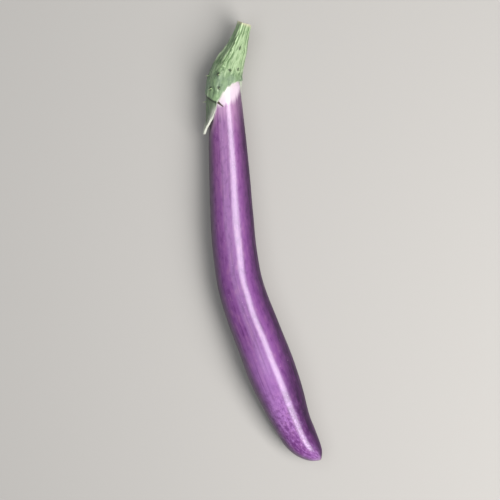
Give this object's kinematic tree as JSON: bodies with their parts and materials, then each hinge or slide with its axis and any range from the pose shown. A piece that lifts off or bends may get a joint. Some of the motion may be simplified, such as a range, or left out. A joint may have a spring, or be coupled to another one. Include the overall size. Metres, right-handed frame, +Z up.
{
  "type": "eggplant",
  "caption": "Long, slender, gently bowed purple eggplant as picked, lying on its belly, with a green calyx of pointed, sparsely prickled sepals and a short cut stalk.",
  "frame": {"origin": "on the resting surface, below the middle of the whole eggplant's bounding box", "axes": "+Z up from the resting surface; +Y along the straight line from the blossom tip to the stalk's cut end; +X to the inside of the bow, so the belly of the bow bulges towards -X"},
  "size_m": [0.0492, 0.2858, 0.0313],
  "materials": {
    "fruit_skin": null,
    "calyx_green": null
  },
  "bodies": {
    "root": {"fruit": "fruit_skin", "calyx_and_stalk": "calyx_green"}
  },
  "joints": []
}
